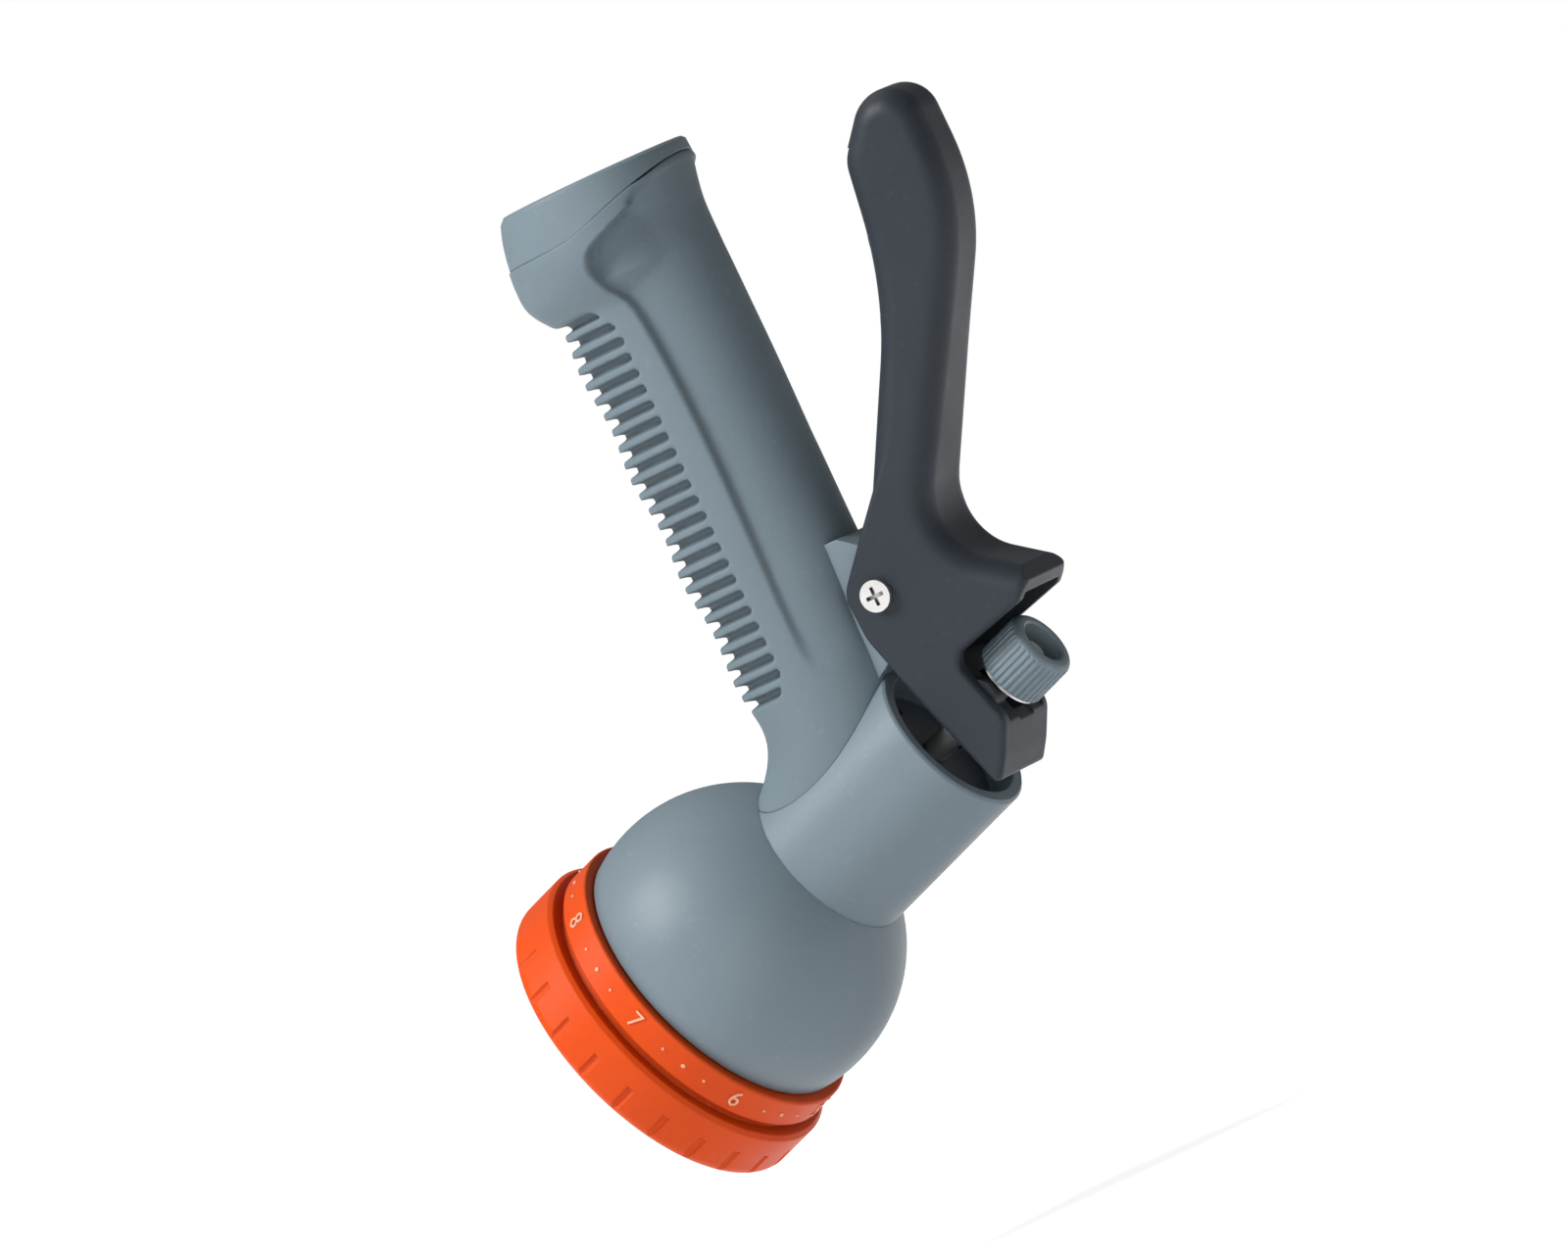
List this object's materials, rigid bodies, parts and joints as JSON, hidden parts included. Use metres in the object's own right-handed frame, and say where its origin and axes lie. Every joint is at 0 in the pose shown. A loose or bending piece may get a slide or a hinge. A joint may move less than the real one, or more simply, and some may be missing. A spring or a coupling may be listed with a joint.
{
  "type": "hose spray nozzle",
  "caption": "Hanging garden hose nozzle with a finned rubber grip, a rear squeeze lever, a flow knob and a turning dial of spray patterns.",
  "frame": {"origin": "centre of the hose inlet's mouth, in the plane of its rim", "axes": "+Z out of the inlet towards the hose, +X towards the lever, -X the spray side; the spray leaves along -X and 18.7 degrees down; symmetric about Y = 0"},
  "size_m": [0.1428, 0.066, 0.1793],
  "materials": {
    "body_plastic": "satin moulded",
    "grip_rubber": "soft matt overmould",
    "lever_plastic": "satin moulded",
    "knob_plastic": "satin moulded",
    "dial_plastic": "satin gloss",
    "face_plastic": "satin moulded",
    "insert_plastic": "satin moulded",
    "inner_plastic": "natural moulded",
    "seal_rubber": "matt",
    "stem_brass": "turned",
    "steel": "bright"
  },
  "bodies": {
    "body": {"main_body": "body_plastic", "bell_housing": "body_plastic", "grip_overmold": "grip_rubber", "gland_nut": "face_plastic", "inlet_filter": "inner_plastic", "valve_seat": "inner_plastic", "gland_washer": "inner_plastic", "port_plate": "inner_plastic", "inlet_washer": "seal_rubber", "seat_oring": "seal_rubber", "gland_oring": "seal_rubber", "plate_oring": "seal_rubber", "port_seal": "seal_rubber", "dial_oring": "seal_rubber", "return_spring": "steel", "detent_ball": "steel", "detent_spring": "steel", "dial_screw": "steel", "dial_washer": "steel", "pivot_bush": "steel"},
    "trigger": {"trigger_lever": "lever_plastic", "pivot_screw": "steel", "pivot_nut": "steel"},
    "stem": {"valve_stem": "steel", "poppet": "inner_plastic", "poppet_seal": "seal_rubber", "poppet_screw": "stem_brass"},
    "knob_carrier": {"knob_washer": "steel"},
    "knob": {"flow_knob": "knob_plastic", "knob_insert": "stem_brass"},
    "dial": {"dial_ring": "dial_plastic", "dial_face": "face_plastic", "hub_cap": "face_plastic", "shower_insert": "insert_plastic", "jet_insert": "insert_plastic", "mist_insert": "insert_plastic", "cone_insert": "insert_plastic", "flat_insert": "insert_plastic", "soaker_insert": "insert_plastic", "angle_insert": "insert_plastic", "full_insert": "insert_plastic"}
  },
  "joints": [
    {"name": "trigger_squeeze", "type": "hinge", "parent": "body", "child": "trigger", "pos_m": [0.02201, 0, -0.09169], "axis": [0, -1, 0], "range_deg": [0, 16], "stiffness_Nm_per_rad": 1.2, "springref_deg": -20.05},
    {"name": "stem_slide", "type": "slide", "parent": "body", "child": "stem", "axis": [0.9472, 0, 0.3206], "range_m": [0, 0.0074], "deforming": ["return_spring"]},
    {"name": "knob_advance", "type": "slide", "parent": "stem", "child": "knob_carrier", "axis": [0.9472, 0, 0.3206], "range_m": [0, 0.0016]},
    {"name": "knob_turn", "type": "hinge", "parent": "knob_carrier", "child": "knob", "pos_m": [0, 0, -0.1268], "axis": [0.9472, 0, 0.3206], "range_deg": [0, 720]},
    {"name": "dial_turn", "type": "hinge", "parent": "body", "child": "dial", "pos_m": [0, 0, -0.1268], "axis": [-0.9472, 0, -0.3206], "continuous": true}
  ],
  "couplings": [
    {"joint": "stem_slide", "follows": "trigger_squeeze", "m_per_rad": 0.0262},
    {"joint": "knob_turn", "follows": "knob_advance", "rad_per_m": 7854}
  ]
}
